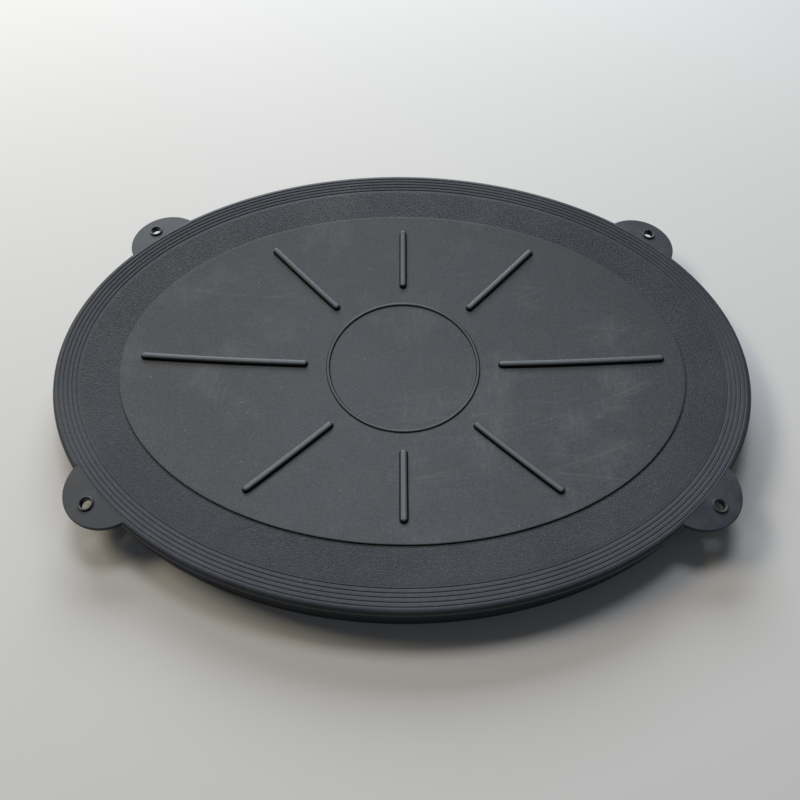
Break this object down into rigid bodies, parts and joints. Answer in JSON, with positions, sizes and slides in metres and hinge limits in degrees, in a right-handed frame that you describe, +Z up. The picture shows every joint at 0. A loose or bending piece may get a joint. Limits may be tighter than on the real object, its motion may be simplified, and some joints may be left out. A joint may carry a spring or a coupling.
{
  "type": "hatch cover",
  "caption": "Oval flexible push-on deck hatch cover: firm dished panel with radial ribs in a soft grooved rim with skirt, flexing pull tabs and tether eyelets.",
  "frame": {"origin": "on the ground under the middle of the oval, level with the foot of the skirt", "axes": "+X along the long axis of the oval, to the right in the picture, +Y away from the viewer, +Z up through the panel"},
  "size_m": [0.444, 0.3286, 0.0238],
  "materials": {
    "soft_rubber": "matte, leather-grained and finely grooved soft rubber",
    "firm_rubber": "matte smooth firm rubber with faint chalky scuffs",
    "eyelet_rubber": "satin smooth hard rubber"
  },
  "bodies": {
    "root": {"rim_moulding": "soft_rubber", "centre_panel": "firm_rubber"},
    "tab_front_left": {"pull_tab_front_left": "soft_rubber", "eyelet_front_left": "eyelet_rubber"},
    "tab_front_right": {"pull_tab_front_right": "soft_rubber", "eyelet_front_right": "eyelet_rubber"},
    "tab_back_left": {"pull_tab_back_left": "soft_rubber", "eyelet_back_left": "eyelet_rubber"},
    "tab_back_right": {"pull_tab_back_right": "soft_rubber", "eyelet_back_right": "eyelet_rubber"}
  },
  "joints": [
    {"name": "tab_front_left_flex", "type": "hinge", "parent": "root", "child": "tab_front_left", "pos_m": [-0.17434, -0.0991, 0.02122], "axis": [-0.7223, 0.6916, 0], "range_deg": [-12, 80], "stiffness_Nm_per_rad": 0.05},
    {"name": "tab_front_right_flex", "type": "hinge", "parent": "root", "child": "tab_front_right", "pos_m": [0.17434, -0.0991, 0.02122], "axis": [-0.7223, -0.6916, 0], "range_deg": [-12, 80], "stiffness_Nm_per_rad": 0.05},
    {"name": "tab_back_left_flex", "type": "hinge", "parent": "root", "child": "tab_back_left", "pos_m": [-0.17434, 0.0991, 0.02122], "axis": [0.7223, 0.6916, 0], "range_deg": [-12, 80], "stiffness_Nm_per_rad": 0.05},
    {"name": "tab_back_right_flex", "type": "hinge", "parent": "root", "child": "tab_back_right", "pos_m": [0.17434, 0.0991, 0.02122], "axis": [0.7223, -0.6916, 0], "range_deg": [-12, 80], "stiffness_Nm_per_rad": 0.05}
  ]
}
